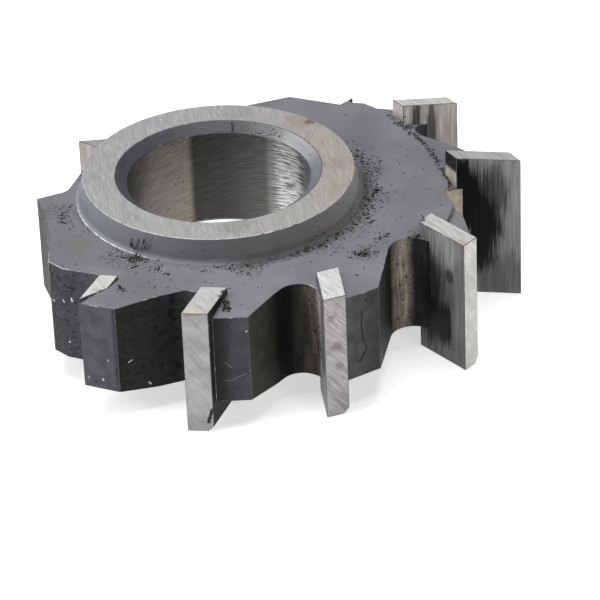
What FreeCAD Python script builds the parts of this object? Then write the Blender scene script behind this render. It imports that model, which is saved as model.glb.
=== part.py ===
import FreeCAD, Part
import math
import os
from collections import namedtuple

# A worn involute gear cutter, made in one piece: a bored hub, a thick toothed body and cutting blades that
# stand proud of the body at the tip and on both sides. It turns clockwise seen from +Z, so each tooth has its
# cutting face on the clockwise side and its back runs the other way. The origin is on the bore axis, halfway
# along the bore wall, and +Z leaves the hub's raised end. Lengths are in mm and angles in degrees.

# Bore for the arbor.
BORE_RADIUS = 20.0
BORE_WALL_LENGTH = 21.7
BORE_CHAMFER_WIDTH = 2.5
BORE_CHAMFER_DEPTH = 1.9

# Hub ring above the body, slightly wider at its foot, and the recess round the bore under the body.
HUB_RADIUS = 29.5
HUB_HEIGHT = 5.3
HUB_TAPER = 0.9
HUB_FILLET = 1.2
RECESS_RADIUS = 29.5
RECESS_DEPTH = 1.9

# Blades stand proud of the body at the tip and reach below it, with their lower back corner cut off.
BLADE_PROUD = 1.4
BLADE_DROP = 5.3
BLADE_CORNER_CUT = 1.2

# The land of the worn first tooth: its width, length and height at the inner end, and the share of its back
# edge where the slope has run out.
LAND_WIDTH = 3.0
LAND_LENGTH = 8.3
LAND_SKEW = 40.0
LAND_RISE = 1.6
LAND_RUNOUT = 0.49

# Side relief of a tooth back: where it starts, the step down there and the slope beyond.
Relief = namedtuple("Relief", "radius step slope")
PLAIN = Relief(45.2, 0.0, 8.0)
STEPPED = Relief(49.8, 1.1, 3.0)
OUTER_STEP = Relief(51.4, 1.1, 3.0)

# Blade: thickness, length along the cutting face, skew of its two ends and rise above the body's top face.
Blade = namedtuple("Blade", "thickness length skew rise")

# Tooth: place and reach of its tip, radius of the gullet floor in front of it, rounding of that gullet, lean of
# the cutting face (forward at the tip) and the corners behind the tip, each as a turn from the tip and a radius.
Tooth = namedtuple("Tooth", "angle reach root gullet lean back relief blade")

TEETH = [
    Tooth(-124.5, 52.0, 42.0, 1.5, -3.0, [(9.0, 51.0)], PLAIN, None),
    Tooth(-98.7, 53.0, 41.5, 2.5, 13.0, [(15.0, 51.5)], PLAIN, Blade(5.4, 11.0, 15.0, 1.5)),
    Tooth(-66.8, 54.0, 43.0, 4.5, 17.5, [(15.5, 52.8)], PLAIN, Blade(4.9, 11.4, 15.0, 1.5)),
    Tooth(-33.1, 61.2, 44.5, 5.0, 17.5, [(12.5, 57.0), (19.0, 54.0)], OUTER_STEP, Blade(4.4, 14.2, 10.0, 3.5)),
    Tooth(-2.7, 65.5, 49.0, 3.5, 6.0, [(17.4, 58.0), (21.0, 56.0)], STEPPED, Blade(3.6, 14.0, 38.0, 6.3)),
    Tooth(28.6, 61.0, 50.6, 3.0, 27.0, [(13.0, 54.3), (17.0, 51.6)], STEPPED, Blade(3.2, 12.2, 34.0, 3.5)),
    Tooth(53.0, 50.5, 48.5, 1.0, 0.0, [(0.7, 46.3), (16.0, 45.0), (27.0, 39.5)], None, None),
    Tooth(97.0, 36.0, 33.5, 1.5, 10.0, [(12.0, 35.5)], None, None),
    Tooth(119.0, 36.0, 33.0, 2.0, 10.0, [(7.0, 35.5)], None, None),
    Tooth(137.0, 33.0, 32.6, 0.4, -5.0, [(6.0, 34.0)], None, Blade(4.8, 6.0, -48.0, 1.8)),
    Tooth(180.0, 39.8, 33.0, 3.0, -23.0, [(10.7, 38.4), (23.0, 39.6), (36.5, 45.2), (42.0, 44.8)], None, None),
]

# Heights worked out from the sizes above.
HUB_TOP = BORE_WALL_LENGTH / 2 + BORE_CHAMFER_DEPTH
HUB_BOTTOM = -HUB_TOP
BODY_TOP = HUB_TOP - HUB_HEIGHT
BODY_BOTTOM = HUB_BOTTOM - RECESS_DEPTH
BODY_MIDDLE = (BODY_TOP + BODY_BOTTOM) / 2
FLOOR = BODY_BOTTOM - BLADE_DROP

# Room that a cutting shape takes past the faces that it cuts.
MARGIN = 5.0

AXIS = FreeCAD.Vector(0, 0, 1)
ORIGIN = FreeCAD.Vector(0, 0, 0)


def polar(angle, radius):
    a = math.radians(angle)
    return FreeCAD.Vector(radius * math.cos(a), radius * math.sin(a), 0)


def angle_of(vector):
    return math.degrees(math.atan2(vector.y, vector.x))


def at_height(point, z):
    return FreeCAD.Vector(point.x, point.y, z)


def prism(corners, low, high):
    base = [at_height(c, low) for c in corners]
    face = Part.Face(Part.makePolygon(base + base[:1]))
    return face.extrude(AXIS * (high - low))


def revolved(profile, start=0.0, sweep=360.0):
    corners = [FreeCAD.Vector(r, 0, z) for r, z in profile]
    face = Part.Face(Part.makePolygon(corners + corners[:1]))
    face.rotate(ORIGIN, AXIS, start)
    return face.revolve(ORIGIN, AXIS, sweep)


def tooth_frame(tooth):
    """The tip, the way inwards along the cutting face, and the way back from that face through the tooth."""
    tip = polar(tooth.angle, tooth.reach)
    inward = polar(tooth.angle - tooth.lean, -1.0)
    backward = FreeCAD.Vector(inward.y, -inward.x, 0)
    return tip, inward, backward


def body_tip(tooth):
    tip, inward, _ = tooth_frame(tooth)
    return tip + inward * BLADE_PROUD if tooth.blade else tip


def gullet_circle(tooth):
    """Centre of the gullet's rounding, which touches the cutting face and the gullet floor, and its foot there."""
    tip, inward, backward = tooth_frame(tooth)
    start = tip - backward * tooth.gullet
    reach = tooth.root + tooth.gullet
    along = -start.dot(inward)
    run = along - math.sqrt(along ** 2 - start.dot(start) + reach ** 2)
    return start + inward * run, tip + inward * run


def back_corners(tooth):
    return [polar(tooth.angle + turn, radius) for turn, radius in tooth.back]


def outline():
    """The body's outline: for each tooth the gullet in front of it, its cutting face and its back."""
    edges = []
    previous = back_corners(TEETH[-1])[-1]
    for tooth in TEETH:
        centre, foot = gullet_circle(tooth)
        reach = centre - previous
        swing = math.degrees(math.asin(tooth.gullet / reach.Length))
        run = math.sqrt(reach.Length ** 2 - tooth.gullet ** 2)
        touch = previous + polar(angle_of(reach) + swing, run)
        first = angle_of(touch - centre)
        turn = (first - angle_of(foot - centre)) % 360.0
        middle = centre + polar(first - turn / 2, tooth.gullet)
        edges.append(Part.makeLine(previous, touch))
        edges.append(Part.Arc(touch, middle, foot).toShape())
        corners = [foot, body_tip(tooth)] + back_corners(tooth)
        edges += [Part.makeLine(a, b) for a, b in zip(corners, corners[1:])]
        previous = corners[-1]
    return Part.Wire(edges)


def toothed_body():
    wire = outline()
    wire.translate(AXIS * BODY_BOTTOM)
    return Part.Face(wire).extrude(AXIS * (BODY_TOP - BODY_BOTTOM))


def tooth_reliefs():
    """The rings that step the tooth backs down, one sector for each relieved tooth, on both sides of the body."""
    outside = max(t.reach for t in TEETH) + MARGIN
    cuts = []
    for tooth, following in zip(TEETH, TEETH[1:]):
        if tooth.relief is None:
            continue
        start = angle_of(gullet_circle(tooth)[0])
        sweep = (angle_of(gullet_circle(following)[0]) - start) % 360.0
        inner, step, slope = tooth.relief
        foot = BODY_TOP - step
        fall = (outside - inner) * math.tan(math.radians(slope))
        above = BODY_TOP + MARGIN
        profile = [(inner, foot), (outside, foot - fall), (outside, above), (inner, above)]
        mirrored = [(r, 2 * BODY_MIDDLE - z) for r, z in profile]
        cuts.append(revolved(profile, start, sweep))
        cuts.append(revolved(mirrored, start, sweep))
    return cuts


def hub():
    """The raised ring with its tapered side and the fillet at its foot, down to the body's mid-plane."""
    side = HUB_RADIUS + HUB_TAPER
    corners = [(0, BODY_MIDDLE), (side + HUB_FILLET, BODY_MIDDLE), (side + HUB_FILLET, BODY_TOP)]
    lower = [FreeCAD.Vector(r, 0, z) for r, z in corners]
    bend = HUB_FILLET * (1 - math.sqrt(0.5))
    arc_middle = FreeCAD.Vector(side + bend, 0, BODY_TOP + bend)
    arc_end = FreeCAD.Vector(side, 0, BODY_TOP + HUB_FILLET)
    rim = FreeCAD.Vector(HUB_RADIUS, 0, HUB_TOP)
    top = FreeCAD.Vector(0, 0, HUB_TOP)
    edges = [Part.makeLine(a, b) for a, b in zip(lower, lower[1:])]
    edges.append(Part.Arc(lower[-1], arc_middle, arc_end).toShape())
    edges.append(Part.makeLine(arc_end, rim))
    edges.append(Part.makeLine(rim, top))
    edges.append(Part.makeLine(top, lower[0]))
    return Part.Face(Part.Wire(edges)).revolve(ORIGIN, AXIS, 360)


def bore_and_recess():
    mouth = BORE_RADIUS + BORE_CHAMFER_WIDTH
    wall = BORE_WALL_LENGTH / 2
    below = BODY_BOTTOM - MARGIN
    profile = [(0, HUB_TOP + MARGIN), (mouth, HUB_TOP + MARGIN), (mouth, HUB_TOP), (BORE_RADIUS, wall)]
    profile += [(BORE_RADIUS, -wall), (mouth, HUB_BOTTOM), (RECESS_RADIUS, HUB_BOTTOM)]
    profile += [(RECESS_RADIUS, below), (0, below)]
    return revolved(profile)


def blade_bar(tooth):
    """One blade: a flat bar along the cutting face, from the floor up past the body, with its back corner cut."""
    tip, inward, backward = tooth_frame(tooth)
    blade = tooth.blade
    across = backward * blade.thickness + inward * (blade.thickness * math.tan(math.radians(blade.skew)))
    inner = tip + inward * blade.length
    bar = prism([tip, tip + across, inner + across, inner], FLOOR, BODY_TOP + blade.rise)
    back_middle = at_height((tip + inner) * 0.5 + across, FLOOR)
    corner = min(bar.Edges, key=lambda e: (e.CenterOfMass - back_middle).Length)
    return bar.makeChamfer(BLADE_CORNER_CUT, [corner])


def sloping_land(tooth):
    """The land left on the worn first tooth, highest at its inner end and run out to nothing at the tip."""
    tip, inward, backward = tooth_frame(tooth)
    across = backward * LAND_WIDTH + inward * (LAND_WIDTH * math.tan(math.radians(LAND_SKEW)))
    inner = tip + inward * LAND_LENGTH
    runout = tip + across + inward * (LAND_LENGTH * LAND_RUNOUT)
    block = prism([tip, runout, inner + across, inner], BODY_MIDDLE, BODY_TOP + 2 * LAND_RISE)
    low = at_height(tip, BODY_TOP)
    along = at_height(inner, BODY_TOP + LAND_RISE) - low
    aside = at_height(runout, BODY_TOP) - low
    normal = along.cross(aside)
    normal = normal if normal.z > 0 else normal * -1
    size = 4 * LAND_LENGTH
    plate = Part.makePlane(2 * size, 2 * size, FreeCAD.Vector(-size, -size, 0))
    plate.Placement = FreeCAD.Placement(low, FreeCAD.Rotation(AXIS, normal))
    return block.cut(plate.extrude(normal.normalize() * size))


def gear_cutter():
    body = toothed_body()
    for cut in tooth_reliefs():
        body = body.cut(cut)
    body = body.fuse(hub())
    for tooth in TEETH:
        if tooth.blade:
            body = body.fuse(blade_bar(tooth))
    body = body.fuse(sloping_land(TEETH[0]))
    body = body.cut(bore_and_recess())
    return body.removeSplitter()


os.makedirs("parts", exist_ok=True)
cutter = gear_cutter()
solid = cutter.Solids[0]
solid.exportStep("parts/gear_cutter.step")
box = solid.BoundBox
print("solids", len(cutter.Solids), "valid", solid.isValid(), "volume", round(solid.Volume), "mm3")
print("box", [round(v, 2) for v in (box.XMin, box.YMin, box.ZMin, box.XMax, box.YMax, box.ZMax)])
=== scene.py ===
import bmesh
import bpy
import math
import random
from mathutils import Matrix, Vector
from mathutils.bvhtree import BVHTree


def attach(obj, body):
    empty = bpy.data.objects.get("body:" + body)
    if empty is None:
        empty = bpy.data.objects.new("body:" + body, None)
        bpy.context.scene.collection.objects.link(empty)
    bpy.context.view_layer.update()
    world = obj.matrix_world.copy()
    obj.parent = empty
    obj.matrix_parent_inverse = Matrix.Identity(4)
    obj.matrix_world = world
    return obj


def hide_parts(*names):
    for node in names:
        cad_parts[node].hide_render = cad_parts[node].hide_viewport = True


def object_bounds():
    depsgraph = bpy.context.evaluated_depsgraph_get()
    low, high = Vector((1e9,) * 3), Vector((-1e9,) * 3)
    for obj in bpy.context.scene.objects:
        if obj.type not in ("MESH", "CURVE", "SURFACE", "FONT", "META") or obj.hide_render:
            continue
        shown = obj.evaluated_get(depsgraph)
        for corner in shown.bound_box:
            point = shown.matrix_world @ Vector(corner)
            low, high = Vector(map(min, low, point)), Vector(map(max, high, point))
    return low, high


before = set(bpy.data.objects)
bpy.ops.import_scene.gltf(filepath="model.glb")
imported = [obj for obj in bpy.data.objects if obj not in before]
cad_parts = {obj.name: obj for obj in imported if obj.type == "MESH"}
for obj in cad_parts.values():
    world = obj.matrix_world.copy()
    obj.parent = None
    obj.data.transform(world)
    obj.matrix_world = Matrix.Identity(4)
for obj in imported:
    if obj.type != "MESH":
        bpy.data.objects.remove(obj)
cad_box = [list(corner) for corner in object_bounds()]

# Sizes of the cutter that the finishes follow, in mm.
MM = 0.001
FLOOR, HIGHEST = (corner[2] / MM for corner in cad_box)
HUB_TOP = 12.75
BODY_TOP = 7.45
BODY_BOTTOM = -14.65
BORE_RADIUS = 20.0
BORE_MOUTH = 22.5
HUB_RADIUS = 29.5
HUB_FOOT = 31.6

# Camera, placed where the photograph was taken from: the lens in mm for a 36 mm sensor, its height above
# the horizon and its roll in degrees, its distance in mm, and the pixel of the hub's centre.
LENS = 218.76
ELEVATION = 31.53
ROLL = -2.34
DISTANCE = 790.6
HUB_PIXEL = (218.3, 170.0)
IMAGE_SIZE = 600.0
SENSOR = 36.0

# Lamps: name, azimuth and elevation in degrees, distance and size in m, power in W, and colour.
LAMPS = [
    ("overhead_box", 100, 78, 1.1, (0.9, 0.9), 17.0, (1.0, 1.0, 1.0)),
    ("left_box", 200, 32, 1.0, (0.35, 0.8), 7.0, (0.93, 0.96, 1.0)),
    ("right_box", 308, 30, 1.1, (0.25, 0.7), 2.8, (1.0, 0.95, 0.88)),
]

# The studio: the light from all round, and the floor's half width in m, its colour and its glow.
SKY = 0.35
FLOOR_REACH = 4.0
FLOOR_COLOUR = (0.6, 0.6, 0.6, 1)
FLOOR_GLOW = 0.6


def polar(angle, radius, height=0.0):
    """A point from its turn in degrees, its radius and its height."""
    a = math.radians(angle)
    return Vector((radius * math.cos(a), radius * math.sin(a), height))


# Short calls that add nodes. A value is a number, a colour, a vector or another node's output.
def plug(tree, socket, value):
    if isinstance(value, bpy.types.NodeSocket):
        tree.links.new(value, socket)
    else:
        socket.default_value = value


def add(tree, kind, inputs=None, **settings):
    node = tree.nodes.new(kind)
    for name, value in settings.items():
        setattr(node, name, value)
    for key, value in (inputs or {}).items():
        plug(tree, node.inputs[key], value)
    return node


def calc(tree, operation, *values):
    node = add(tree, "ShaderNodeMath", operation=operation)
    for socket, value in zip(node.inputs, values):
        plug(tree, socket, value)
    return node.outputs[0]


def vector_calc(tree, operation, *values):
    node = add(tree, "ShaderNodeVectorMath", operation=operation)
    for socket, value in zip(node.inputs, values):
        plug(tree, socket, value)
    return node.outputs["Value" if operation in ("LENGTH", "DOT_PRODUCT", "DISTANCE") else "Vector"]


def triple(tree, value):
    """A vector with the same value three times."""
    return add(tree, "ShaderNodeCombineXYZ", {"X": value, "Y": value, "Z": value}).outputs["Vector"]


def ramp(tree, value, low, high, out_low=0.0, out_high=1.0):
    """A smooth step from out_low at low to out_high at high."""
    inputs = {"Value": value, "From Min": low, "From Max": high, "To Min": out_low, "To Max": out_high}
    return add(tree, "ShaderNodeMapRange", inputs, interpolation_type="SMOOTHSTEP").outputs["Result"]


def tint(tree, mask, below, above):
    """The colour below, covered by the colour above where the mask says."""
    node = add(tree, "ShaderNodeMix", data_type="RGBA")
    plug(tree, node.inputs[0], mask)
    plug(tree, node.inputs[6], below)
    plug(tree, node.inputs[7], above)
    return node.outputs[2]


def noise(tree, position, scale, detail=2.0, roughness=0.5):
    inputs = {"Vector": position, "Scale": scale, "Detail": detail, "Roughness": roughness}
    return add(tree, "ShaderNodeTexNoise", inputs).outputs["Fac"]


def group(name, inputs, outputs):
    """An empty node group with named inputs and outputs, and its two end nodes."""
    tree = bpy.data.node_groups.new(name, "ShaderNodeTree")
    for label, kind, value in inputs:
        socket = tree.interface.new_socket(label, in_out="INPUT", socket_type=kind)
        socket.default_value = value
    for label, kind in outputs:
        tree.interface.new_socket(label, in_out="OUTPUT", socket_type=kind)
    return tree, tree.nodes.new("NodeGroupInput").outputs, tree.nodes.new("NodeGroupOutput").inputs


PLACE = ("Position", "NodeSocketVector", (0, 0, 0))
MASK = ("Mask", "NodeSocketFloat")
WOBBLE = 0.5


def wobbled(tree, position, scale):
    """The position, pushed by a soft noise up to WOBBLE mm along each axis."""
    push = add(tree, "ShaderNodeTexNoise", {"Vector": position, "Scale": scale}).outputs["Color"]
    return vector_calc(tree, "ADD", position, vector_calc(tree, "MULTIPLY", push, (WOBBLE, WOBBLE, WOBBLE)))


def make_specks():
    """Round pits and specks in random places: Share says how many of the cells hold one."""
    inputs = [PLACE, ("Spacing", "NodeSocketFloat", 1.0)]
    inputs += [("Size", "NodeSocketFloat", 0.3), ("Share", "NodeSocketFloat", 0.3)]
    tree, given, result = group("specks", inputs, [MASK])
    cell_place = vector_calc(tree, "DIVIDE", wobbled(tree, given["Position"], 2.5), given["Spacing"])
    cell = add(tree, "ShaderNodeTexVoronoi", {"Vector": cell_place, "Scale": 1.0})
    pick = add(tree, "ShaderNodeSeparateColor", {"Color": cell.outputs["Color"]}).outputs
    large = calc(tree, "ADD", calc(tree, "MULTIPLY", pick[0], 0.8), 0.2)
    reach = calc(tree, "MULTIPLY", large, given["Size"])
    dot = ramp(tree, cell.outputs["Distance"], calc(tree, "MULTIPLY", reach, 0.6), reach, 1.0, 0.0)
    held = calc(tree, "LESS_THAN", pick[1], given["Share"])
    plug(tree, result["Mask"], calc(tree, "MULTIPLY", dot, held))
    return tree


def make_lines():
    """Fine lines left by a wheel or a brush: Across points over them and Along points down them."""
    inputs = [PLACE, ("Across", "NodeSocketVector", (1, 0, 0)), ("Along", "NodeSocketVector", (0, 0, 1))]
    tree, given, result = group("lines", inputs, [("Fine", "NodeSocketFloat"), ("Coarse", "NodeSocketFloat")])
    over = vector_calc(tree, "DOT_PRODUCT", given["Position"], given["Across"])
    down = vector_calc(tree, "DOT_PRODUCT", given["Position"], given["Along"])
    place = add(tree, "ShaderNodeCombineXYZ", {"X": over, "Y": down}).outputs["Vector"]
    plug(tree, result["Fine"], noise(tree, place, 1.0, 3.0, 0.6))
    plug(tree, result["Coarse"], noise(tree, place, 0.2, 2.0, 0.5))
    return tree


def make_patch():
    """A soft patch round a centre, broken up by noise. Squash shrinks it along an axis, and zero makes it
    endless there."""
    inputs = [PLACE, ("Centre", "NodeSocketVector", (0, 0, 0))]
    inputs += [("Squash", "NodeSocketVector", (1, 1, 1)), ("Reach", "NodeSocketFloat", 3.0)]
    inputs += [("Break Up", "NodeSocketFloat", 0.6), ("Break Size", "NodeSocketVector", (1, 1, 1))]
    tree, given, result = group("patch", inputs, [MASK])
    offset = vector_calc(tree, "SUBTRACT", given["Position"], given["Centre"])
    away = vector_calc(tree, "LENGTH", vector_calc(tree, "MULTIPLY", offset, given["Squash"]))
    share = calc(tree, "DIVIDE", away, given["Reach"])
    torn = noise(tree, vector_calc(tree, "MULTIPLY", given["Position"], given["Break Size"]), 1.0, 3.0, 0.6)
    shift = calc(tree, "MULTIPLY", calc(tree, "SUBTRACT", torn, 0.5), given["Break Up"])
    plug(tree, result["Mask"], ramp(tree, calc(tree, "ADD", share, shift), 0.45, 1.0, 1.0, 0.0))
    return tree


def make_stroke():
    """A ragged stroke between two points, for cracks, scratches and nicks."""
    inputs = [PLACE, ("Start", "NodeSocketVector", (0, 0, 0)), ("End", "NodeSocketVector", (0, 0, 1))]
    inputs += [("Width", "NodeSocketFloat", 0.2)]
    tree, given, result = group("stroke", inputs, [MASK])
    half = WOBBLE / 2
    moved = vector_calc(tree, "SUBTRACT", wobbled(tree, given["Position"], 1.4), (half, half, half))
    whole = vector_calc(tree, "SUBTRACT", given["End"], given["Start"])
    part = vector_calc(tree, "SUBTRACT", moved, given["Start"])
    along = vector_calc(tree, "DOT_PRODUCT", part, whole)
    share = calc(tree, "DIVIDE", along, vector_calc(tree, "DOT_PRODUCT", whole, whole))
    held = calc(tree, "MINIMUM", calc(tree, "MAXIMUM", share, 0.0), 1.0)
    nearest = vector_calc(tree, "MULTIPLY", whole, triple(tree, held))
    away = vector_calc(tree, "DISTANCE", part, nearest)
    core = calc(tree, "MULTIPLY", given["Width"], 0.4)
    plug(tree, result["Mask"], ramp(tree, away, core, given["Width"], 1.0, 0.0))
    return tree


SPECKS = make_specks()
LINES = make_lines()
PATCH = make_patch()
STROKE = make_stroke()

EVEN = (1, 1, 1)


class Finish:
    """One material in the making: its nodes, its shader and the position in mm that its patterns follow."""

    def __init__(self, name, metallic, specular=0.5):
        self.material = bpy.data.materials.new(name)
        self.material.use_nodes = True
        self.tree = self.material.node_tree
        self.shader = self.tree.nodes["Principled BSDF"]
        self.shader.inputs["Metallic"].default_value = metallic
        self.shader.inputs["Specular IOR Level"].default_value = specular
        place = self.tree.nodes.new("ShaderNodeTexCoord").outputs["Object"]
        self.position = vector_calc(self.tree, "MULTIPLY", place, (1 / MM, 1 / MM, 1 / MM))
        parts = add(self.tree, "ShaderNodeSeparateXYZ", {"Vector": self.position}).outputs
        self.height = parts["Z"]
        self.angle = self.calc("ARCTAN2", parts["Y"], parts["X"])
        level = vector_calc(self.tree, "MULTIPLY", self.position, (1, 1, 0))
        self.radius = vector_calc(self.tree, "LENGTH", level)
        around = {"X": self.calc("MULTIPLY", self.angle, self.radius), "Y": self.radius, "Z": self.height}
        self.rolled = add(self.tree, "ShaderNodeCombineXYZ", around).outputs["Vector"]

    def use(self, tree, output, place=None, **inputs):
        """A node group in this material, at the position or another place."""
        node = add(self.tree, "ShaderNodeGroup", node_tree=tree)
        plug(self.tree, node.inputs["Position"], place or self.position)
        for name, value in inputs.items():
            plug(self.tree, node.inputs[name.replace("_", " ")], value)
        return node.outputs[output]

    def specks(self, spacing, size, share, place=None):
        return self.use(SPECKS, "Mask", place, Spacing=spacing, Size=size, Share=share)

    def lines(self, output, across, along, place=None):
        return self.use(LINES, output, place, Across=across, Along=along)

    def patch(self, centre, reach, squash=EVEN, break_up=0.6, break_size=EVEN):
        shape = {"Centre": centre, "Squash": squash, "Reach": reach}
        return self.use(PATCH, "Mask", Break_Up=break_up, Break_Size=break_size, **shape)

    def strokes(self, points, width):
        """One mask for a run of strokes through points given as turn, radius and height."""
        ends = [polar(*point) for point in points]
        masks = [self.use(STROKE, "Mask", Start=a, End=b, Width=width) for a, b in zip(ends, ends[1:])]
        return self.most(masks)

    def noise(self, scale, detail=2.0):
        return noise(self.tree, self.position, scale, detail)

    def ramp(self, *values):
        return ramp(self.tree, *values)

    def calc(self, operation, *values):
        return calc(self.tree, operation, *values)

    def both(self, one, other):
        """Where both masks hold."""
        return self.calc("MULTIPLY", one, other)

    def most(self, masks):
        """The strongest of some masks at each point."""
        found = masks[0]
        for mask in masks[1:]:
            found = self.calc("MAXIMUM", found, mask)
        return found

    def band(self, value, low, high, soft):
        """One between low and high, and zero outside them."""
        rise = self.ramp(value, low - soft, low)
        return self.both(rise, self.ramp(value, high, high + soft, 1.0, 0.0))

    def stretch(self, first, last, soft):
        """One between two turns in degrees, with edges that are soft over some radians."""
        return self.band(self.angle, math.radians(first), math.radians(last), soft)

    def by_turn(self, tones):
        """A colour that runs round the axis through tones given as turn and colour."""
        share = self.calc("ADD", self.calc("DIVIDE", self.angle, math.tau), 0.5)
        node = add(self.tree, "ShaderNodeValToRGB", {"Fac": share})
        stops = node.color_ramp.elements
        for index, (turn, colour) in enumerate(tones):
            place = turn / 360.0 + 0.5
            stop = stops[index] if index < 2 else stops.new(place)
            stop.position = place
            stop.color = (*colour, 1)
        return node.outputs["Color"]

    def shade(self, mask, below, above):
        return tint(self.tree, mask, below, above)

    def cover(self, colour, mask, above, strength=1.0):
        """The colour, covered by another where the mask says, at most by the strength."""
        return self.shade(self.calc("MULTIPLY", mask, strength), colour, above)

    def scaled(self, colour, factor):
        """The colour times a factor that changes over the surface."""
        return vector_calc(self.tree, "MULTIPLY", colour, triple(self.tree, factor))

    def finish(self, colour, roughness, height, depth):
        """Colour, roughness and a bump of that depth in mm."""
        bump = add(self.tree, "ShaderNodeBump", {"Height": height, "Strength": 1.0, "Distance": depth * MM})
        plug(self.tree, self.shader.inputs["Base Color"], colour)
        plug(self.tree, self.shader.inputs["Roughness"], roughness)
        plug(self.tree, self.shader.inputs["Normal"], bump.outputs["Normal"])
        return self.material


BLACK = (0.006, 0.0055, 0.006, 1)
DIRT = (0.040, 0.033, 0.024, 1)
OLIVE = (0.11, 0.105, 0.06, 1)
RUST = (0.28, 0.17, 0.09, 1)
BRIGHT = (0.75, 0.76, 0.76, 1)
GREY = (0.10, 0.10, 0.105, 1)
# Painted light, on the upper part of the fourth blade's cutting face.
RAKE_LIGHT = (0.46, 0.45, 0.44, 1)

# Stretches round the axis in degrees: the walls scraped to bare stripes, the longest blade, the dark facet
# in front of the second blade, the bare side of the third blade, and the front of the hub's foot.
SCRAPED = (-71, 10)
LONGEST_BLADE = (-10, 10)
DARK_FACET = (-115.4, -102)
THIRD_BLADE = (-66.5, -63.0)
FOOT_FRONT = (-75, 5)

# Tones of the upright walls, from the worn tooth on the left round to the longest blade: partly the walls'
# own colour and partly painted shading, darker on walls turned from the light and near black in the gullets.
SIDE_TONES_AND_SHADE = [
    (-179.0, (0.030, 0.032, 0.029)),
    (-144.0, (0.050, 0.052, 0.044)),
    (-140.5, (0.060, 0.058, 0.068)),
    (-134.0, (0.062, 0.060, 0.072)),
    (-124.6, (0.096, 0.097, 0.111)),
    (-115.8, (0.092, 0.093, 0.107)),
    (-115.4, (0.017, 0.017, 0.013)),
    (-103.2, (0.028, 0.028, 0.034)),
    (-101.5, (0.060, 0.062, 0.068)),
    (-92.2, (0.014, 0.015, 0.012)),
    (-89.6, (0.028, 0.029, 0.027)),
    (-87.6, (0.068, 0.066, 0.079)),
    (-84.3, (0.076, 0.073, 0.090)),
    (-83.6, (0.050, 0.050, 0.038)),
    (-78.0, (0.036, 0.035, 0.026)),
    (-75.0, (0.007, 0.007, 0.007)),
    (-70.0, (0.002, 0.002, 0.002)),
    (-69.0, (0.018, 0.017, 0.015)),
    (-67.4, (0.030, 0.028, 0.023)),
    (-66.3, (0.070, 0.063, 0.045)),
    (-65.2, (0.084, 0.075, 0.058)),
    (-64.8, (0.150, 0.133, 0.115)),
    (-60.2, (0.098, 0.102, 0.102)),
    (-51.6, (0.048, 0.049, 0.046)),
    (-38.0, (0.003, 0.003, 0.003)),
    (-35.6, (0.010, 0.010, 0.009)),
    (-35.0, (0.205, 0.188, 0.150)),
    (-31.0, (0.330, 0.310, 0.275)),
    (-29.8, (0.004, 0.004, 0.005)),
    (-8.0, (0.580, 0.525, 0.435)),
    (3.0, (0.560, 0.510, 0.425)),
    (12.0, (0.060, 0.062, 0.068)),
]
BLADE_SIDE = (0.42, 0.36, 0.37, 1)
SCRATCHED = (0.2, 0.2, 0.21, 1)

# Cracks, scratches and nicks on the walls: turn, radius and height of the points that each runs through.
CRACKS = [
    [(-140.1, 44.9, 4.8), (-136.8, 44.4, 3.0), (-134.8, 43.7, 2.7)],
    [(-111.8, 48.0, 6.6), (-112.1, 48.2, 5.0), (-111.6, 47.9, 3.4)],
    [(-111.8, 48.0, -6.2), (-109.8, 46.6, -7.5)],
    [(-112.6, 48.6, -10.2), (-110.6, 47.1, -10.2)],
    [(-55.9, 52.4, 2.1), (-56.2, 52.4, -0.7), (-56.0, 52.4, -4.2), (-55.0, 52.4, -7.0)],
    [(-55.0, 52.4, -7.0), (-55.6, 52.4, -8.4), (-57.0, 52.3, -10.0)],
]
SCRATCHES = [
    [(-89.7, 51.1, -8.8), (-88.0, 51.2, -8.6), (-86.1, 51.3, -7.7), (-84.7, 51.4, -7.2)],
    [(-89.2, 51.2, -4.3), (-87.9, 51.2, -5.6)],
]
NICKS = [
    [(-142.4, 45.1, -1.7), (-142.3, 45.1, -1.9)],
    [(-138.4, 44.8, -0.5), (-138.2, 44.8, -0.9)],
    [(-136.0, 44.1, 0.4), (-135.8, 44.1, -0.4)],
    [(-137.5, 44.6, -10.6), (-137.4, 44.6, -10.8)],
    [(-118.1, 51.1, -6.3), (-118.0, 51.1, -6.4)],
    [(-123.4, 51.7, -11.3), (-123.3, 51.7, -11.5)],
    [(-119.8, 51.2, -11.3), (-119.6, 51.2, -11.5)],
    [(-84.2, 51.4, 3.1), (-84.1, 51.4, 3.3)],
    [(-109.9, 46.7, -12.9), (-109.5, 46.5, -13.4)],
    [(-113.6, 49.3, -6.9), (-112.9, 48.9, -6.6)],
]


def side_tone(made):
    """The walls' colour before its marks: tones round the rim with painted shading, clouded, and streaked
    where scraped.
    """
    colour = made.by_turn(SIDE_TONES_AND_SHADE)
    blade_side = made.both(made.stretch(*THIRD_BLADE, 0.01), made.ramp(made.radius, 46.6, 47.6))
    colour = made.cover(colour, blade_side, BLADE_SIDE)
    cloud = made.ramp(made.noise(0.35, 4.0), 0.3, 0.7, 0.78, 1.2)
    upright = made.lines("Fine", (2.6, 0, 0), (0, 0, 0.10), made.rolled)
    scraped = made.both(made.stretch(*SCRAPED, 0.06), made.ramp(made.radius, 50.5, 51.5, 1.0, 0.1))
    low = made.ramp(scraped, 0.0, 1.0, 0.95, 0.55)
    high = made.ramp(scraped, 0.0, 1.0, 1.05, 1.45)
    colour = made.scaled(colour, made.both(cloud, made.ramp(upright, 0.3, 0.7, low, high)))
    return colour, upright, scraped


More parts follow.
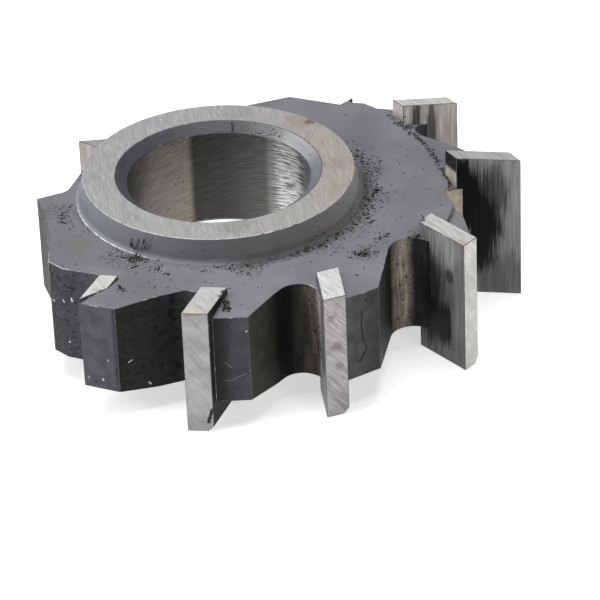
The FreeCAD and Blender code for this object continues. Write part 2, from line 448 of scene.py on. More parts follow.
def side_pits(made, scraped):
    """The walls' pits: dense on the worn tooth, blotched on the dark facet and sparse elsewhere."""
    worn_tooth = made.ramp(made.angle, math.radians(-128), math.radians(-134))
    dark_facet = made.stretch(*DARK_FACET, 0.01)
    share = made.ramp(worn_tooth, 0.0, 1.0, made.ramp(dark_facet, 0.0, 1.0, 0.2, 0.5), 0.9)
    return made.most([
        made.specks(0.95, 0.33, share),
        made.specks(1.7, 0.2, share),
        made.specks(4.0, 0.14, 0.3),
        made.both(dark_facet, made.ramp(made.noise(0.8, 4.0), 0.55, 0.62)),
        made.both(worn_tooth, made.specks(0.55, 0.55, 0.85)),
        made.both(scraped, made.specks(0.9, 0.4, 0.5)),
    ])


def side_finish():
    """The upright walls: dark skin with painted shading, near black in the shaded gullets, and scraped tan
    stripes, with pits, cracks and nicks.
    """
    made = Finish("dark_side", 0.15, 0.18)
    colour, upright, scraped = side_tone(made)
    grit = made.noise(5.0, 3.0)
    colour = made.cover(colour, made.ramp(grit, 0.56, 0.72), BLACK, 0.4)
    greasy = made.both(made.stretch(*LONGEST_BLADE, 0.02), made.ramp(made.height, 9.4, 10.8))
    colour = made.cover(colour, greasy, BLACK, 0.96)
    pits = side_pits(made, scraped)
    colour = made.cover(colour, pits, BLACK, 0.9)
    cracks = made.most([made.strokes(points, 0.28) for points in CRACKS])
    colour = made.cover(colour, cracks, BLACK, 0.95)
    scratches = made.most([made.strokes(points, 0.16) for points in SCRATCHES])
    colour = made.cover(colour, scratches, SCRATCHED, 0.8)
    nicks = made.most([made.strokes(points, 0.26) for points in NICKS] + [made.specks(5.0, 0.04, 0.16)])
    colour = made.cover(colour, nicks, BRIGHT, 0.85)
    height = made.calc("SUBTRACT", made.calc("MULTIPLY", upright, 0.4), pits)
    return made.finish(colour, made.ramp(grit, 0.3, 0.7, 0.5, 0.65), height, 0.04)


# Where the upper face holds much fine dirt: turn, radius and reach.
DIRTY = [
    (-128, 33.5, 6.5),
    (-168, 35, 6.0),
    (-80, 33.5, 5.0),
    (-43, 41.5, 4.5),
    (-26, 47.5, 3.0),
    (12, 34, 5.5),
    (-9, 34, 5.5),
    (-48, 33.0, 6.5),
    (-32, 33.5, 6.0),
]
SLATE = (0.125, 0.129, 0.142, 1)
PALE_SLATE = (0.152, 0.156, 0.172, 1)
DULL_SLATE = (0.095, 0.100, 0.105, 1)
FOOT_SHADOW = (0.030, 0.030, 0.033, 1)


def top_tone(made, patches):
    """The level faces' colour before its specks: clouded slate with dull, tawny and dirty patches."""
    colour = made.shade(made.ramp(made.noise(0.09, 4.0), 0.35, 0.65), SLATE, PALE_SLATE)
    colour = made.cover(colour, made.ramp(made.noise(6.0, 3.0), 0.56, 0.72), BLACK, 0.3)
    tawny = made.patch(polar(-145, 36.5, BODY_TOP), 4.5, EVEN, 1.2, (0.6, 0.6, 0.6))
    colour = made.cover(colour, tawny, OLIVE, 0.3)
    dull = made.patch(polar(-115, 46, BODY_TOP), 9.0, EVEN, 0.5, (0.3, 0.3, 0.3))
    colour = made.cover(colour, dull, DULL_SLATE, 0.6)
    dusty = made.both(patches, made.ramp(made.noise(1.2, 3.0), 0.4, 0.62))
    colour = made.cover(colour, dusty, DIRT, 0.4)
    shadow = made.both(made.stretch(*FOOT_FRONT, 0.3), made.ramp(made.radius, 31.6, 34.5, 1.0, 0.0))
    return made.cover(colour, shadow, FOOT_SHADOW, 0.75)


def top_finish():
    """The upper and lower faces: slate skin with fine black dirt, thickest round the hub's foot."""
    made = Finish("dark_face", 0.2, 0.35)
    ragged = (0.5, 0.5, 0.5)
    patches = made.most([
        made.patch(polar(angle, radius, BODY_TOP), reach, EVEN, 1.2, ragged)
        for angle, radius, reach in DIRTY
    ])
    colour = top_tone(made, patches)
    foot = made.band(made.radius, 31.0, 33.4, 2.4)
    foot = made.both(foot, made.ramp(made.noise(0.5, 3.0), 0.4, 0.6, 0.3, 0.8))
    share = made.ramp(made.most([patches, foot]), 0.0, 0.9, 0.10, 0.95)
    drawn_out = vector_calc(made.tree, "MULTIPLY", made.position, (1.0, 0.45, 1.0))
    pits = made.most([
        made.specks(0.7, 0.34, share, drawn_out),
        made.specks(1.2, 0.26, share),
        made.specks(4.2, 0.12, 0.35),
    ])
    colour = made.cover(colour, pits, BLACK, 0.9)
    colour = made.cover(colour, made.specks(5.5, 0.03, 0.18), BRIGHT, 0.8)
    grit = made.noise(6.0, 3.0)
    height = made.calc("SUBTRACT", made.calc("MULTIPLY", grit, 0.3), pits)
    return made.finish(colour, made.ramp(grit, 0.3, 0.7, 0.5, 0.62), height, 0.035)


# Tones of the hub's side round the axis: painted shading, darker at the front and lighter towards the right.
HUB_SHADING_TONES = [
    (-179.0, (0.225, 0.230, 0.245)),
    (-150.0, (0.230, 0.236, 0.250)),
    (-118.0, (0.175, 0.178, 0.190)),
    (-90.0, (0.150, 0.151, 0.166)),
    (-50.0, (0.225, 0.222, 0.228)),
    (-12.0, (0.390, 0.385, 0.378)),
    (30.0, (0.310, 0.300, 0.295)),
    (60.0, (0.180, 0.180, 0.190)),
    (179.0, (0.225, 0.230, 0.245)),
]
PALE_FOOT = (-165, -124)
BARE_FOOT = (0.6, 0.6, 0.62, 1)
# The painted shadow on the hub's side at the front of its foot.
HUB_FOOT_SHADE = (0.035, 0.034, 0.036, 1)


def hub_finish():
    """The hub's tapered side, turned to fine rings, with painted shading round it: pale along the foot at the
    left and painted shadow at the front, low by the foot.
    """
    made = Finish("hub_side", 0.15, 0.2)
    rings = made.lines("Fine", (0, 3.0, 3.0), (0.15, 0, 0), made.rolled)
    colour = made.scaled(made.by_turn(HUB_SHADING_TONES), made.ramp(rings, 0.3, 0.7, 0.94, 1.06))
    bright_mask = made.both(made.stretch(*PALE_FOOT, 0.15), made.ramp(made.noise(0.9, 3.0), 0.35, 0.6))
    bright_mask = made.both(made.band(made.radius, 31.1, 31.35, 0.2), bright_mask)
    colour = made.cover(colour, bright_mask, BARE_FOOT, 0.9)
    # Painted shadow on the lower hub side at the front, where it meets the face.
    dark = made.both(made.stretch(*FOOT_FRONT, 0.3), made.ramp(made.height, 7.4, 9.2, 1.0, 0.0))
    colour = made.cover(colour, dark, HUB_FOOT_SHADE, 0.8)
    dirty = made.patch(polar(-35, 31, 9), 11.0, EVEN, 1.0, (0.3, 0.3, 0.3))
    pits = made.specks(0.9, 0.3, made.ramp(dirty, 0.0, 1.0, 0.12, 0.6))
    colour = made.cover(colour, pits, BLACK, 0.9)
    return made.finish(colour, 0.62, made.calc("SUBTRACT", rings, pits), 0.012)


RING_TONES = [
    (-179.0, (0.365, 0.367, 0.362)),
    (-90.0, (0.380, 0.378, 0.370)),
    (-40.0, (0.375, 0.362, 0.345)),
    (-10.0, (0.375, 0.345, 0.315)),
    (30.0, (0.375, 0.345, 0.315)),
    (60.0, (0.375, 0.368, 0.358)),
    (100.0, (0.385, 0.388, 0.398)),
    (179.0, (0.365, 0.367, 0.362)),
]

# Stains on the ring: colour, turn, radius, reach and strength.
RING_STAINS = [
    (RUST, 48, 27.6, 4.4, 0.3),
    (DIRT, 45, 28.4, 1.6, 0.55),
    (OLIVE, -82, 24.8, 4.6, 0.22),
    (RUST, 2, 26.5, 4.2, 0.2),
    (RUST, -22, 27.0, 3.4, 0.16),
    (OLIVE, 80, 25.5, 4.0, 0.15),
]


def ring_finish():
    """The hub's ground end, with straight fine lines and a few old stains."""
    made = Finish("ground_ring", 0.5)
    across, along = (3.6, 0.5, 0), (-0.03, 0.22, 0)
    fine = made.lines("Fine", across, along)
    broad = made.lines("Coarse", across, along)
    tone = made.both(made.ramp(fine, 0.3, 0.7, 0.9, 1.08), made.ramp(broad, 0.3, 0.7, 0.94, 1.05))
    colour = made.scaled(made.by_turn(RING_TONES), tone)
    for shade, angle, radius, reach, strength in RING_STAINS:
        mask = made.patch(polar(angle, radius, HUB_TOP), reach, EVEN, 1.5, (0.8, 0.8, 0.8))
        colour = made.cover(colour, mask, shade, strength)
    colour = made.cover(colour, made.specks(2.4, 0.09, 0.12), BLACK, 0.7)
    return made.finish(colour, made.ramp(fine, 0.3, 0.7, 0.36, 0.46), fine, 0.006)


# Tones round the bore's mouth: painted shading and highlight, dark at the left and back and bright at the
# right.
CHAMFER_SHADING_TONES = [
    (-179.0, (0.080, 0.080, 0.092)),
    (-60.0, (0.150, 0.155, 0.170)),
    (-25.0, (0.160, 0.165, 0.185)),
    (5.0, (0.200, 0.205, 0.225)),
    (22.0, (0.330, 0.335, 0.350)),
    (42.0, (0.320, 0.320, 0.325)),
    (56.0, (0.150, 0.150, 0.155)),
    (75.0, (0.058, 0.059, 0.064)),
    (110.0, (0.055, 0.056, 0.064)),
    (150.0, (0.070, 0.070, 0.082)),
    (179.0, (0.080, 0.080, 0.092)),
]
CHAMFER_CRACK = [(82, 21.9, 12.3), (81, 20.9, 11.4), (81.5, 20.2, 10.8)]


def chamfer_finish():
    """The bore's countersunk mouth, with painted shading: dark at the left and back and a painted highlight
    at the right.
    """
    made = Finish("chamfer", 0.3, 0.25)
    rings = made.lines("Fine", (0, 3.0, 3.0), (0.12, 0, 0), made.rolled)
    colour = made.scaled(made.by_turn(CHAMFER_SHADING_TONES), made.ramp(rings, 0.3, 0.7, 0.85, 1.15))
    dirty = made.patch(polar(60, 20.9, 11.4), 5.5, EVEN, 0.6, (0.5, 0.5, 0.5))
    pits = made.specks(0.55, 0.6, made.ramp(dirty, 0.0, 0.8, 0.03, 1.0))
    colour = made.cover(colour, made.most([pits, made.strokes(CHAMFER_CRACK, 0.4)]), BLACK, 0.95)
    return made.finish(colour, 0.45, rings, 0.01)


# Tones round the bore: painted reflections, olive bronze on the left, dark in the middle and a white painted
# highlight on the right.
BORE_REFLECTION_TONES = [
    (-170.0, (0.13, 0.12, 0.11)),
    (-20.0, (0.16, 0.16, 0.16)),
    (16.0, (0.22, 0.22, 0.225)),
    (26.0, (0.42, 0.42, 0.42)),
    (33.0, (1.00, 1.00, 1.00)),
    (47.0, (1.00, 1.00, 1.00)),
    (53.5, (0.42, 0.41, 0.39)),
    (60.0, (0.150, 0.145, 0.136)),
    (88.0, (0.066, 0.064, 0.060)),
    (107.5, (0.056, 0.052, 0.046)),
    (110.5, (0.265, 0.250, 0.195)),
    (124.0, (0.270, 0.250, 0.212)),
    (138.0, (0.270, 0.242, 0.225)),
    (150.0, (0.225, 0.210, 0.200)),
    (172.0, (0.110, 0.105, 0.100)),
]
# Turns in degrees of the painted highlight in the bore, and of its pits.
BORE_HIGHLIGHT = (24, 52)
PITTED_BORE = (116, 146)


def bore_finish():
    """The bored wall, honed round, with its reflections painted in: olive bronze on the left, dark in the
    middle and a painted highlight on the right.
    """
    made = Finish("bored_wall", 0.7, 0.3)
    hone = made.lines("Fine", (0.6, 0, 2.9), (0.18, 0, -0.04), made.rolled)
    # The stretch of the painted highlight, where the hone lines show stronger.
    bright_mask = made.stretch(*BORE_HIGHLIGHT, 0.1)
    low = made.ramp(bright_mask, 0.0, 1.0, 0.78, 0.25)
    high = made.ramp(bright_mask, 0.0, 1.0, 1.25, 1.5)
    colour = made.scaled(made.by_turn(BORE_REFLECTION_TONES), made.ramp(hone, 0.36, 0.64, low, high))
    clusters = made.ramp(made.noise(0.45, 2.0), 0.42, 0.56, 0.1, 0.9)
    pits = made.specks(0.9, 0.3, made.both(made.stretch(*PITTED_BORE, 0.12), clusters))
    colour = made.cover(colour, made.most([pits, made.specks(4.0, 0.06, 0.3)]), BLACK, 0.85)
    return made.finish(colour, made.ramp(hone, 0.3, 0.7, 0.3, 0.45), hone, 0.02)


# Tones of the blades' ground tops, blade by blade: painted light and shade on one ground steel.
LAND_LIGHT_TONES = [
    (-140.0, (0.330, 0.330, 0.318)),
    (-112.0, (0.330, 0.330, 0.318)),
    (-104.0, (0.440, 0.440, 0.427)),
    (-85.0, (0.440, 0.440, 0.427)),
    (-70.0, (0.560, 0.560, 0.545)),
    (-50.0, (0.560, 0.560, 0.545)),
    (-38.0, (0.450, 0.445, 0.425)),
    (-24.0, (0.450, 0.445, 0.425)),
    (-8.0, (0.325, 0.324, 0.316)),
    (8.0, (0.325, 0.324, 0.316)),
    (24.0, (0.470, 0.465, 0.450)),
    (60.0, (0.470, 0.465, 0.450)),
    (120.0, (0.290, 0.290, 0.292)),
    (170.0, (0.290, 0.290, 0.292)),
]

# A thin line of rust along the second blade's upper edge: turn, radius and height.
RUST_LINE = [(-97.6, 53.0, 8.5), (-96.0, 53.0, 8.85), (-94.0, 53.0, 8.95)]


def land_finish():
    """The ground tops of the blades, with light and shade painted blade by blade."""
    made = Finish("ground_land", 0.35)
    across, along = (3.4, 2.2, 0.6), (0.10, -0.16, 0)
    fine = made.lines("Fine", across, along)
    broad = made.lines("Coarse", across, along)
    tone = made.both(made.ramp(fine, 0.32, 0.68, 0.78, 1.16), made.ramp(broad, 0.3, 0.7, 0.92, 1.06))
    colour = made.scaled(made.by_turn(LAND_LIGHT_TONES), tone)
    worn = made.patch(polar(-121, 47.5, BODY_TOP), 2.6, EVEN, 1.6, EVEN)
    worn = made.both(worn, made.ramp(made.noise(1.6, 3.0), 0.45, 0.6))
    colour = made.cover(colour, worn, DIRT, 0.7)
    rust = made.patch(polar(-32, 60, 10.5), 2.0, EVEN, 1.4, (0.9, 0.9, 0.9))
    colour = made.cover(colour, rust, RUST, 0.25)
    colour = made.cover(colour, made.specks(2.0, 0.1, 0.16), BLACK, 0.7)
    return made.finish(colour, made.ramp(fine, 0.3, 0.7, 0.38, 0.5), fine, 0.012)


# Tones of the blades' outer faces, blade by blade: painted light and shade on one ground steel, brightest on
# the fourth blade.
TIP_LIGHT_TONES = [
    (-140.0, (0.300, 0.300, 0.300)),
    (-104.0, (0.385, 0.382, 0.385)),
    (-85.0, (0.385, 0.382, 0.385)),
    (-76.0, (0.425, 0.408, 0.408)),
    (-50.0, (0.425, 0.408, 0.408)),
    (-38.0, (0.660, 0.650, 0.615)),
    (-24.0, (0.660, 0.650, 0.615)),
    (-8.0, (0.340, 0.330, 0.320)),
    (60.0, (0.400, 0.390, 0.370)),
    (179.0, (0.300, 0.300, 0.300)),
]
COARSE_TIP = (-72, -56)
CHIP = [(-92.9, 53.1, -14.6), (-93.3, 53.0, -16.0), (-93.8, 53.0, -17.6)]
CHIP_COLOUR = (0.012, 0.009, 0.007, 1)
SMEARS = [(polar(-64, 54, -3.0), 1.6), (polar(-65, 54, 4.0), 1.3), (polar(-63.5, 54, -8.0), 1.2)]
SMEAR_COLOUR = (0.13, 0.10, 0.12, 1)


def tip_finish():
    """The outer faces of the blades, ground aslant, with grey smears, and light and shade painted blade by
    blade.
    """
    made = Finish("ground_tip", 0.35)
    across, along = (3.6, 0, 2.6), (-0.10, 0, 0.14)
    fine = made.lines("Fine", across, along, made.rolled)
    broad = made.lines("Coarse", across, along, made.rolled)
    coarse = made.stretch(*COARSE_TIP, 0.1)
    low = made.ramp(coarse, 0.0, 1.0, 0.86, 0.66)
    high = made.ramp(coarse, 0.0, 1.0, 1.1, 1.3)
    tone = made.both(made.ramp(fine, 0.34, 0.66, low, high), made.ramp(broad, 0.3, 0.7, 0.92, 1.07))
    tone = made.both(tone, made.ramp(made.noise(0.3, 3.0), 0.3, 0.7, 0.86, 1.12))
    colour = made.scaled(made.by_turn(TIP_LIGHT_TONES), tone)
    colour = made.cover(colour, made.strokes(RUST_LINE, 0.42), RUST, 0.8)
    smears = [made.patch(centre, reach, EVEN, 1.4, (0.9, 0.9, 0.9)) for centre, reach in SMEARS]
    colour = made.cover(colour, made.most(smears), SMEAR_COLOUR, 0.5)
    colour = made.cover(colour, made.specks(1.9, 0.12, 0.2), BLACK, 0.8)
    colour = made.cover(colour, made.strokes(CHIP, 0.55), CHIP_COLOUR)
    return made.finish(colour, made.ramp(fine, 0.3, 0.7, 0.4, 0.5), fine, 0.014)


RAKE_TONES = [
    (-60.0, (0.240, 0.236, 0.234)),
    (-34.0, (0.275, 0.270, 0.278)),
    (-24.0, (0.275, 0.270, 0.278)),
    (-8.0, (0.285, 0.282, 0.275)),
    (8.0, (0.285, 0.282, 0.275)),
    (24.0, (0.720, 0.695, 0.655)),
    (33.0, (0.720, 0.690, 0.640)),
    (36.0, (0.900, 0.850, 0.770)),
    (120.0, (0.420, 0.385, 0.350)),
    (170.0, (0.420, 0.385, 0.350)),
]
# Painted shadow on the fourth blade's cutting face.
RAKE_SHADOW = (0.034, 0.035, 0.042, 1)
THIN_OIL = (0.05, 0.04, 0.055, 1)
BARE_TAN = (0.90, 0.84, 0.76, 1)

# Stains on the cutting faces, and on the fourth blade a painted patch of light with a painted shadow below
# it: colour, centre, reach, squash and strength.
STAINS_LIGHT_AND_SHADE = [
    # Painted light on the upper part of the fourth blade's cutting face.
    (RAKE_LIGHT, polar(-31.0, 55.0, 8.0), 6.5, EVEN, 0.9),
    (GREY, polar(-31.0, 55.0, -17.0), 8.0, (0.7, 0.7, 1.2), 0.4),
    # Painted shadow on the fourth blade's cutting face, below and left of the lit part.
    (RAKE_SHADOW, polar(-29.3, 50.4, -5.5), 7.6, (1, 1, 0.45), 0.92),
    (BLACK, polar(-31.0, 55.2, -11.2), 3.3, (1, 1, 0.42), 1.0),
    (BLACK, polar(-29.7, 51.9, -12.0), 3.6, (1, 1, 0.5), 0.9),
    (THIN_OIL, polar(-31.6, 56.6, 1.4), 1.8, (1, 1, 0.8), 0.75),
    (GREY, polar(-2.5, 60.0, -15.0), 8.5, (0.7, 0.7, 1.1), 0.7),
    (BLACK, polar(-1.0, 52.4, 9.0), 3.6, (1, 1, 0.5), 1.0),
    (BLACK, polar(-1.2, 54.0, 3.0), 5.0, (1, 1, 0.38), 1.0),
    (BLACK, polar(-1.8, 57.3, -2.5), 5.0, (1, 1, 0.38), 1.0),
    (BLACK, polar(-1.7, 56.6, -8.5), 4.2, (1, 1, 0.5), 0.9),
    (BLACK, polar(-2.2, 60.0, 5.5), 3.6, (1, 1, 0.4), 0.7),
    (BARE_TAN, polar(36.0, 50.5, 5.0), 3.0, (1, 1, 0), 0.9),
    (BLACK, polar(33.0, 52.8, 5.0), 1.5, (1, 1, 0.12), 0.8),
    (BLACK, polar(31.2, 55.8, 5.0), 1.3, (1, 1, 0.12), 0.75),
]


def rake_finish():
    """The cutting faces: brushed upright, with black oil stains, and painted light and painted shadow on the
    fourth blade.
    """
    made = Finish("cutting_face", 0.4, 0.2)
    across, along = (0, 3.2, 0), (0, 0, 0.10)
    upright = made.lines("Fine", across, along, made.rolled)
    broad = made.lines("Coarse", across, along, made.rolled)
    colour = made.by_turn(RAKE_TONES)
    for shade, centre, reach, squash, strength in STAINS_LIGHT_AND_SHADE:
        mask = made.patch(centre, reach, squash, 1.1, (1.3, 1.3, 0.12))
        colour = made.cover(colour, mask, shade, strength)
    tone = made.both(made.ramp(upright, 0.32, 0.68, 0.72, 1.25), made.ramp(broad, 0.3, 0.7, 0.85, 1.1))
    colour = made.scaled(colour, tone)
    pits = made.most([made.specks(1.7, 0.17, 0.22), made.specks(4.5, 0.13, 0.3)])
    colour = made.cover(colour, pits, BLACK, 0.9)
    height = made.calc("SUBTRACT", upright, pits)
    return made.finish(colour, made.ramp(upright, 0.3, 0.7, 0.38, 0.52), height, 0.02)


EDGE_STEEL = (0.085, 0.087, 0.093, 1)
RUBBED_STEEL = (0.42, 0.42, 0.42, 1)
BARE_STEEL = (0.6, 0.6, 0.57, 1)


def worn_finish():
    """The edges: worn to bright steel on the hub's rim, which also paints the rim's highlight, and at the
    worn tooth, dull with a few rubbed spots elsewhere.
    """
    made = Finish("rubbed_edge", 0.2, 0.25)
    rubbed = made.ramp(made.noise(0.5, 3.0), 0.58, 0.68)
    colour = made.cover(EDGE_STEEL, rubbed, RUBBED_STEEL, 0.7)
    colour = made.cover(colour, made.strokes(RUST_LINE, 0.6), RUST, 0.8)
    # The hub's rim is worn bright steel, and its strip also paints the rim's highlight.
    rim = made.both(made.band(made.radius, 28.5, 31.8, 0.6), made.ramp(made.height, 11.0, 12.0))
    corner = made.patch(polar(-140, 43, BODY_TOP), 7.0, EVEN, 0.8, (0.4, 0.4, 0.4))
    bright_mask = made.both(made.most([rim, corner]), made.ramp(made.noise(0.7, 3.0), 0.3, 0.55))
    colour = made.cover(colour, bright_mask, BARE_STEEL, 0.75)
    return made.finish(colour, made.ramp(rubbed, 0.0, 1.0, 0.5, 0.4), made.noise(4.0), 0.015)


CRUMB_DARK = (0.006, 0.005, 0.005, 1)
CRUMB_BROWN = (0.05, 0.04, 0.028, 1)


def crumb_finish():
    """Loose dirt and swarf, black to brown."""
    made = Finish("swarf_dirt", 0.0, 0.3)
    colour = made.shade(made.ramp(made.noise(1.6), 0.35, 0.65), CRUMB_DARK, CRUMB_BROWN)
    return made.finish(colour, made.ramp(made.noise(3.0), 0.0, 1.0, 0.7, 0.95), made.noise(8.0), 0.05)


# The order of the finishes on the cutter's mesh.
SIDE, TOP, RING, CHAMFER, BORE, LAND, TIP, RAKE, HUB, WORN = range(10)


def make_materials():
    """The cutter's finishes, in the order above."""
    return [
        side_finish(),
        top_finish(),
        ring_finish(),
        chamfer_finish(),
        bore_finish(),
        land_finish(),
        tip_finish(),
        rake_finish(),
        hub_finish(),
        worn_finish(),
    ]


# What tells the faces apart: the normal's height on level, upright, gently sloping and blade-top faces, how
# far in mm the blades stand past the body's upper and lower faces, the share of a normal that looks out, in
# or ahead, the slack in mm, and the turns in degrees from which inner ends are bare and blades mirrored.
LEVEL = 0.95
UPRIGHT = 0.1
GENTLE = 0.2
BLADE_TOP = 0.3
PROUD = 0.8
DEEP = 1.0
LOOKS_OUT = 0.75
LOOKS_AHEAD = 0.5
SLACK = 0.1
BARE_ENDS_FROM = 25.0
MIRRORED_FROM = 90.0


def finish_of(face):
    """Which finish a face of the cutter has, from where it lies and which way it looks."""
    centre = face.calc_center_median() / MM
    flat = centre.to_2d()
    radius = flat.length
    normal = face.normal
    tilt = abs(normal.z)
    if radius < BORE_RADIUS + SLACK and tilt < UPRIGHT:
        return BORE
    if radius < BORE_MOUTH and tilt < LEVEL:
        return CHAMFER
    if tilt > LEVEL and abs(centre.z) > HUB_TOP - SLACK and radius < HUB_RADIUS:
        return RING if abs(centre.z) < HUB_TOP + SLACK else TOP
    if radius < HUB_FOOT + 2 * SLACK and centre.z > BODY_TOP + SLACK / 2 and tilt < LEVEL:
        return HUB
    heights = [v.co.z / MM for v in face.verts]
    if (max(heights) > BODY_TOP + PROUD and radius > HUB_FOOT + SLACK) or min(heights) < BODY_BOTTOM - DEEP:
        return blade_finish_of(centre, flat, radius, normal)
    return TOP if tilt > GENTLE or radius < HUB_FOOT + 2 * SLACK else SIDE


def blade_finish_of(centre, flat, radius, normal):
    """Which finish a face of a blade has."""
    if abs(normal.z) > BLADE_TOP:
        return LAND
    outward = normal.to_2d().dot(flat) / max(radius, 1e-6)
    if outward > LOOKS_OUT:
        return TIP
    ahead = (normal.x * centre.y - normal.y * centre.x) / max(radius, 1e-6)
    turn = math.degrees(math.atan2(centre.y, centre.x))
    mirrored = turn > MIRRORED_FROM and ahead < -LOOKS_AHEAD
    inner_end = turn > BARE_ENDS_FROM and outward < -LOOKS_OUT
    return RAKE if ahead > LOOKS_AHEAD or mirrored or inner_end else SIDE


# The bevel's width, the turn between faces past which an edge counts as one, and the limits under which
# points are merged, flat neighbours joined and short edges closed. Lengths are in mm.
EDGE_WIDTH = 0.12
EDGE_TURN = math.radians(25.0)
MERGE = 0.002
FLAT_TURN = math.radians(0.3)
SHORT_EDGE = 0.1


def bevel_edges(mesh):
    """A narrow bevel along every edge, smooth across itself and sharp where it meets a face."""
    edges = [e for e in mesh.edges if e.is_manifold and e.calc_face_angle() > EDGE_TURN]
    bevel = bmesh.ops.bevel(mesh, geom=edges, offset=EDGE_WIDTH * MM, affect="EDGES", segments=2,
                            profile=0.5, material=WORN, clamp_overlap=False)
    strips = set(bevel["faces"])
    mesh.normal_update()
    for edge in mesh.edges:
        sides = [f in strips for f in edge.link_faces]
        crossing = any(sides) and not all(sides)
        bent = edge.is_manifold and edge.calc_face_angle() > EDGE_TURN and not all(sides)
        edge.smooth = not (crossing or bent)


def make_cutter():
    """The cutter's skin: the model's mesh merged, finished face by face, with its edges bevelled."""
    mesh = bmesh.new()
    mesh.from_mesh(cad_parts["gear_cutter"].data)
    bmesh.ops.remove_doubles(mesh, verts=mesh.verts, dist=MERGE * MM)
    bmesh.ops.dissolve_limit(mesh, angle_limit=FLAT_TURN, verts=mesh.verts, edges=mesh.edges)
    bmesh.ops.dissolve_degenerate(mesh, dist=SHORT_EDGE * MM, edges=mesh.edges)
    mesh.normal_update()
    for face in mesh.faces:
        face.smooth = True
        face.material_index = finish_of(face)
    bevel_edges(mesh)
    data = bpy.data.meshes.new("cutter_skin")
    mesh.to_mesh(data)
    shape = BVHTree.FromBMesh(mesh)
    mesh.free()
    for material in make_materials():
        data.materials.append(material)
    piece = bpy.data.objects.new("cutter_skin", data)
    bpy.context.scene.collection.objects.link(piece)
    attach(piece, "root")
    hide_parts("gear_cutter")
    return shape


# Loose dirt and swarf on the upper faces: turn and radius at both ends of a trail, its spread, and the
# number of crumbs.
CRUMBS = [
    ((-125.5, 32.2), (-121.0, 32.5), 0.8, 100),
    ((-132.0, 33.5), (-111.0, 34.4), 1.4, 80),
    ((-173.0, 33.0), (-157.0, 34.5), 1.4, 60),
    ((175.0, 34.0), (-175.0, 35.0), 1.5, 14),
    ((-118.5, 44.0), (-116.5, 45.0), 0.6, 34),
    ((-108.5, 35.4), (-107.0, 36.2), 0.5, 12),
    ((-60.0, 32.6), (-32.0, 33.2), 0.9, 190),
    ((-32.0, 33.6), (30.0, 33.2), 1.2, 330),
    ((-36.0, 34.8), (20.0, 35.0), 1.3, 120),
    ((-100.0, 32.4), (-60.0, 32.6), 0.7, 80),
    ((-84.0, 33.6), (-77.0, 34.4), 0.8, 40),
    ((-45.5, 41.2), (-42.0, 42.8), 0.9, 110),
    ((-37.0, 41.0), (-31.0, 41.6), 1.2, 44),
    ((-31.0, 46.6), (-27.0, 48.2), 0.6, 90),
    ((43.0, 50.6), (36.0, 48.7), 0.40, 44),
    ((36.0, 48.7), (21.0, 48.6), 0.45, 170),
    ((21.0, 48.6), (7.4, 48.8), 0.35, 110),
    ((7.4, 48.8), (1.2, 49.8), 0.30, 50),
    ((-89.0, 44.8), (-88.3, 49.0), 0.5, 130),
    ((0.5, 50.6), (4.0, 51.6), 0.5, 50),
]

# Dirt in upright threads against the hub and by the fourth blade: turn, radius, height and number.
THREADS = [(-121.5, 30.9, 10.2, 9), (-126.0, 31.2, 9.2, 8), (-28.2, 48.0, 6.6, 10)]

# The heights in mm between which crumbs lie, and the height above the cutter that they drop from.
CRUMB_HEIGHTS = (BODY_TOP - 2.5, HIGHEST - 1.2)
DROP = 5.0


def add_crumb(mesh, shape, first, last, spread):
    """A small lump of dirt, dropped somewhere along a trail onto the face below."""
    share = random.random()
    angle, radius = (a + (b - a) * share for a, b in zip(first, last))
    away = Vector((random.gauss(0, spread), random.gauss(0, spread), HIGHEST + DROP))
    hit = shape.ray_cast((polar(angle, radius) + away) * MM, Vector((0, 0, -1)))[0]
    size = random.uniform(0.06, 0.18) * (1.0 if random.random() < 0.9 else 2.0)
    if hit is None or not CRUMB_HEIGHTS[0] < hit.z / MM < CRUMB_HEIGHTS[1]:
        return
    turn = random.uniform(0, math.tau)
    axis = (random.random() * 0.4, random.random() * 0.4, 1)
    length = random.choice((1.0, 1.4, 2.0, 4.0))
    stretch = Matrix.Diagonal((length, random.uniform(0.5, 1.0), random.uniform(0.4, 0.8), 1))
    place = Matrix.Translation(hit + Vector((0, 0, size * 0.2 * MM)))
    matrix = place @ Matrix.Rotation(turn, 4, axis) @ stretch
    bmesh.ops.create_icosphere(mesh, subdivisions=1, radius=size * MM, matrix=matrix)


def add_thread(mesh, angle, radius, height):
    """A thin upright lump of dirt."""
    place = polar(angle + random.gauss(0, 0.9), radius, height + random.gauss(0, 0.7))
    leaning = Matrix.Rotation(random.gauss(0, 0.25), 4, polar(angle, 1))
    matrix = Matrix.Translation(place * MM) @ leaning @ Matrix.Diagonal((1, 1, random.uniform(4, 9), 1))
    bmesh.ops.create_icosphere(mesh, subdivisions=1, radius=random.uniform(0.09, 0.16) * MM, matrix=matrix)


def make_crumbs(shape):
    """The loose dirt on the cutter, as one mesh."""
    random.seed(11)
    mesh = bmesh.new()
    for first, last, spread, number in CRUMBS:
        for _ in range(number):
            add_crumb(mesh, shape, first, last, spread)
    for angle, radius, height, number in THREADS:
        for _ in range(number):
            add_thread(mesh, angle, radius, height)
    data = bpy.data.meshes.new("dirt_crumbs")
    mesh.to_mesh(data)
    mesh.free()
    data.materials.append(crumb_finish())
    piece = bpy.data.objects.new("dirt_crumbs", data)
    bpy.context.scene.collection.objects.link(piece)
    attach(piece, "root")


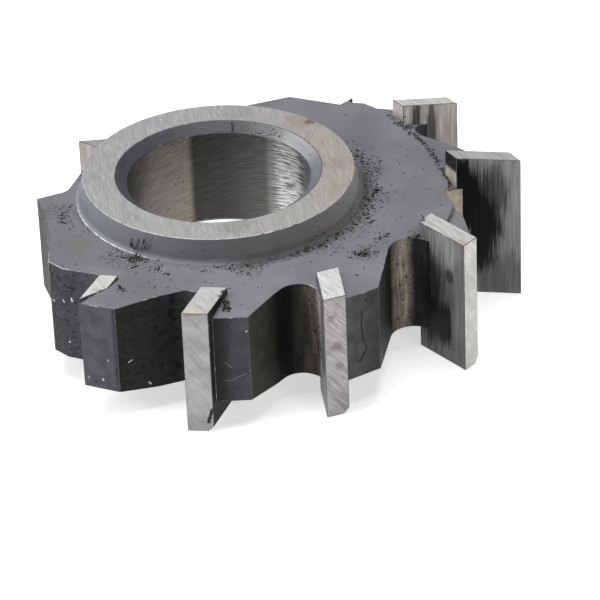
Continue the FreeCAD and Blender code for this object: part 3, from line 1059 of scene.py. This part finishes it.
def make_floor():
    """A plain floor under the cutter, white to the camera and in reflections, that keeps its shadow."""
    mesh = bmesh.new()
    bmesh.ops.create_grid(mesh, x_segments=1, y_segments=1, size=FLOOR_REACH)
    bmesh.ops.translate(mesh, verts=mesh.verts, vec=(0, 0, FLOOR * MM))
    data = bpy.data.meshes.new("floor")
    mesh.to_mesh(data)
    mesh.free()
    material = bpy.data.materials.new("white_floor")
    material.use_nodes = True
    tree = material.node_tree
    shader = tree.nodes["Principled BSDF"]
    shader.inputs["Base Color"].default_value = FLOOR_COLOUR
    shader.inputs["Roughness"].default_value = 1.0
    shader.inputs["Specular IOR Level"].default_value = 0.0
    rays = tree.nodes.new("ShaderNodeLightPath").outputs
    seen = calc(tree, "MAXIMUM", rays["Is Camera Ray"], rays["Is Glossy Ray"])
    seen = calc(tree, "MAXIMUM", seen, rays["Is Transmission Ray"])
    shader.inputs["Emission Color"].default_value = (1, 1, 1, 1)
    plug(tree, shader.inputs["Emission Strength"], calc(tree, "MULTIPLY", seen, FLOOR_GLOW))
    data.materials.append(material)
    floor = bpy.data.objects.new("floor", data)
    bpy.context.scene.collection.objects.link(floor)


def make_camera():
    """The camera, turned and shifted until the hub's centre shows at its pixel."""
    elevation, roll = math.radians(ELEVATION), math.radians(ROLL)
    back = Vector((0, -math.cos(elevation), math.sin(elevation)))
    right = Vector((1, 0, 0))
    up = back.cross(right)
    side = right * math.cos(roll) + up * math.sin(roll)
    top = up * math.cos(roll) - right * math.sin(roll)
    focal = LENS * IMAGE_SIZE / SENSOR
    across = (HUB_PIXEL[0] - IMAGE_SIZE / 2) / focal * DISTANCE
    above = (IMAGE_SIZE / 2 - HUB_PIXEL[1]) / focal * DISTANCE
    place = Vector((0, 0, HUB_TOP)) - side * across - top * above + back * DISTANCE
    camera = bpy.data.cameras.new("camera")
    camera.lens = LENS
    camera.sensor_width = SENSOR
    camera.clip_start = 0.01
    camera.clip_end = 20.0
    holder = bpy.data.objects.new("camera", camera)
    facing = Matrix((side, top, back)).transposed().to_4x4()
    holder.matrix_world = Matrix.Translation(place * MM) @ facing
    bpy.context.scene.collection.objects.link(holder)
    bpy.context.scene.camera = holder


def make_lamp(name, azimuth, elevation, distance, size, power, colour):
    """A square or oblong lamp that looks at the cutter."""
    lamp = bpy.data.lights.new(name, "AREA")
    lamp.shape = "RECTANGLE"
    lamp.size, lamp.size_y = size
    lamp.energy = power
    lamp.color = colour
    holder = bpy.data.objects.new(name, lamp)
    a, e = math.radians(azimuth), math.radians(elevation)
    way = Vector((math.cos(a) * math.cos(e), math.sin(a) * math.cos(e), math.sin(e)))
    facing = way.to_track_quat("Z", "Y").to_matrix().to_4x4()
    holder.matrix_world = Matrix.Translation(way * distance) @ facing
    bpy.context.scene.collection.objects.link(holder)


def make_world():
    """A plain sky, white to the camera and weak on the cutter."""
    world = bpy.data.worlds.new("studio")
    bpy.context.scene.world = world
    world.use_nodes = True
    tree = world.node_tree
    rays = tree.nodes.new("ShaderNodeLightPath").outputs
    seen = calc(tree, "MAXIMUM", rays["Is Camera Ray"], rays["Is Transmission Ray"])
    strength = calc(tree, "ADD", calc(tree, "MULTIPLY", seen, 1.0 - SKY), SKY)
    plug(tree, tree.nodes["Background"].inputs["Strength"], strength)


make_camera()
make_world()
for settings in LAMPS:
    make_lamp(*settings)
make_floor()
make_crumbs(make_cutter())

bpy.context.scene.view_settings.view_transform = "Standard"
